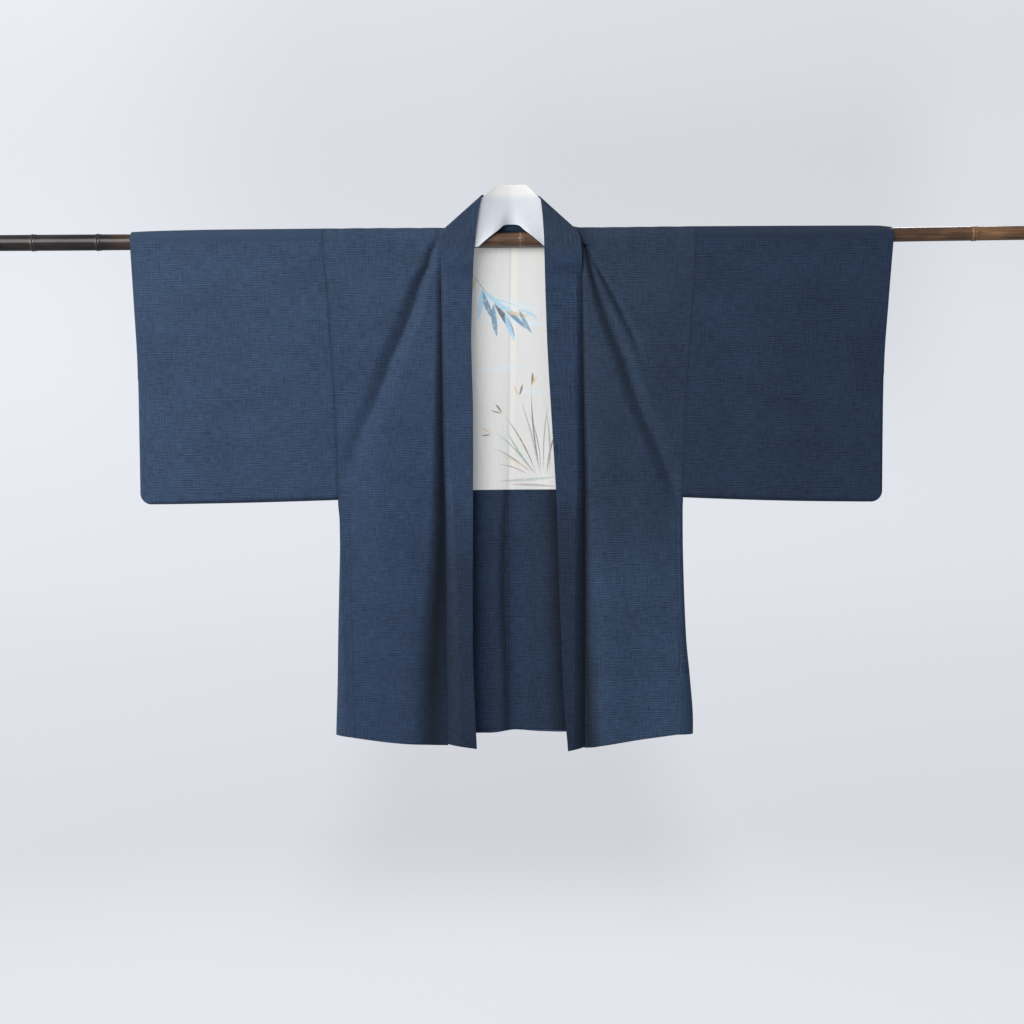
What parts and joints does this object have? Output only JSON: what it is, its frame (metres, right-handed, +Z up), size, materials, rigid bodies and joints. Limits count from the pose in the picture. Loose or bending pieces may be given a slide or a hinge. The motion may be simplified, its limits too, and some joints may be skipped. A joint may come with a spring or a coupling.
{
  "type": "haori jacket on a bamboo rod",
  "caption": "Lined navy haori jacket hanging open from a bamboo rod through its sleeves, with standing collar, square sleeves and side gussets.",
  "frame": {"origin": "on the rod's axis at the middle of the jacket", "axes": "+Z up, the jacket's open front faces -Y, +X along the rod to the right in front view"},
  "size_m": [1.81, 0.0544, 0.967],
  "materials": {
    "navy_silk": "slubby plain weave with a fine cross pattern, soft sheen",
    "navy_collar": "the same cloth in several layers",
    "white_lining": "smooth white silk",
    "bamboo": "smoked bamboo, semi-gloss"
  },
  "bodies": {
    "root": {"body_panel_left": "navy_silk", "body_panel_right": "navy_silk", "sleeve_left": "navy_silk", "sleeve_right": "navy_silk", "gusset_left": "navy_silk", "gusset_right": "navy_silk", "back_facing": "navy_silk", "back_lining": "white_lining", "collar_left": "navy_collar", "collar_right": "navy_collar", "collar_lining": "white_lining", "bamboo_rod": "bamboo"}
  },
  "joints": []
}
